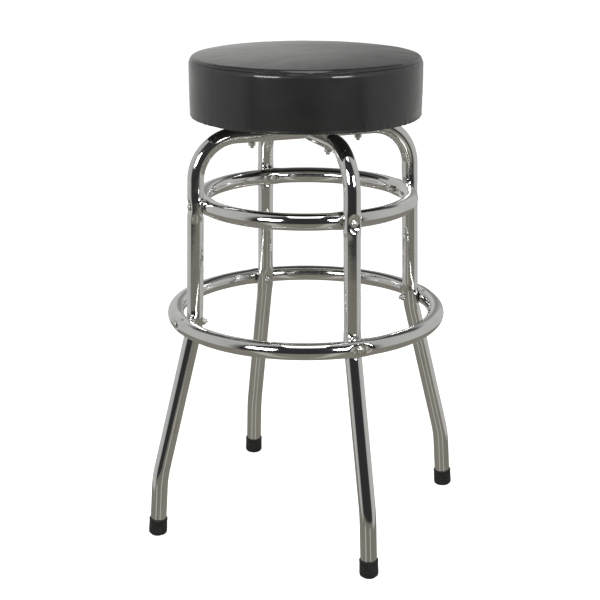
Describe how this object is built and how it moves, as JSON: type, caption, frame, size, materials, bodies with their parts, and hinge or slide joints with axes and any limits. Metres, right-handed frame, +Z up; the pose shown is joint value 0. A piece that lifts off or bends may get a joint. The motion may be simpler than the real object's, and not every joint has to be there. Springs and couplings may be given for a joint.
{
  "type": "swivel bar stool",
  "caption": "Tall swivel stool: round padded seat on a ball-race swivel, crossed bent-tube leg frames, a brace ring, a footrest ring and rubber-capped feet.",
  "frame": {"origin": "on the floor, midway between the four feet and under the seat's swivel axis", "axes": "+Z up along the swivel axis; two legs stand on the X axis and two on the Y axis"},
  "size_m": [0.54, 0.54, 0.76],
  "materials": {
    "chrome_tube": "polished",
    "foot_rubber": "matte",
    "plated_steel": "satin",
    "bearing_steel": "polished",
    "cage_nylon": "matte",
    "plywood": "matte",
    "foam": "matte",
    "dust_cover_felt": "matte",
    "vinyl": "satin"
  },
  "bodies": {
    "base": {"leg_frame_1": "chrome_tube", "leg_frame_2": "chrome_tube", "upper_ring": "chrome_tube", "lower_ring": "chrome_tube", "foot_cap_1": "foot_rubber", "foot_cap_2": "foot_rubber", "foot_cap_3": "foot_rubber", "foot_cap_4": "foot_rubber", "upper_ring_bolt_1": "plated_steel", "upper_ring_bolt_2": "plated_steel", "upper_ring_bolt_3": "plated_steel", "upper_ring_bolt_4": "plated_steel", "upper_ring_nut_1": "plated_steel", "upper_ring_nut_2": "plated_steel", "upper_ring_nut_3": "plated_steel", "upper_ring_nut_4": "plated_steel", "lower_ring_bolt_1": "plated_steel", "lower_ring_bolt_2": "plated_steel", "lower_ring_bolt_3": "plated_steel", "lower_ring_bolt_4": "plated_steel", "lower_ring_nut_1": "plated_steel", "lower_ring_nut_2": "plated_steel", "lower_ring_nut_3": "plated_steel", "lower_ring_nut_4": "plated_steel", "swivel_bolt_1": "plated_steel", "swivel_bolt_2": "plated_steel", "swivel_bolt_3": "plated_steel", "swivel_bolt_4": "plated_steel", "swivel_nut_1": "plated_steel", "swivel_nut_2": "plated_steel", "swivel_nut_3": "plated_steel", "swivel_nut_4": "plated_steel", "swivel_lower_plate": "plated_steel", "swivel_rivet": "plated_steel"},
    "ball_cage": {"ball_cage": "cage_nylon", "bearing_ball_01": "bearing_steel", "bearing_ball_02": "bearing_steel", "bearing_ball_03": "bearing_steel", "bearing_ball_04": "bearing_steel", "bearing_ball_05": "bearing_steel", "bearing_ball_06": "bearing_steel", "bearing_ball_07": "bearing_steel", "bearing_ball_08": "bearing_steel", "bearing_ball_09": "bearing_steel", "bearing_ball_10": "bearing_steel", "bearing_ball_11": "bearing_steel", "bearing_ball_12": "bearing_steel"},
    "seat": {"swivel_upper_plate": "plated_steel", "seat_screw_1": "plated_steel", "seat_screw_2": "plated_steel", "seat_screw_3": "plated_steel", "seat_screw_4": "plated_steel", "dust_cover": "dust_cover_felt", "seat_board": "plywood", "foam_pad": "foam", "vinyl_cover": "vinyl"}
  },
  "joints": [
    {"name": "seat_swivel", "type": "hinge", "parent": "base", "child": "seat", "pos_m": [0, 0, 0.65525], "axis": [0, 0, 1], "continuous": true},
    {"name": "ball_cage_spin", "type": "hinge", "parent": "base", "child": "ball_cage", "pos_m": [0, 0, 0.65525], "axis": [0, 0, 1], "continuous": true}
  ],
  "couplings": [
    {"joint": "ball_cage_spin", "follows": "seat_swivel", "ratio": 0.5}
  ]
}
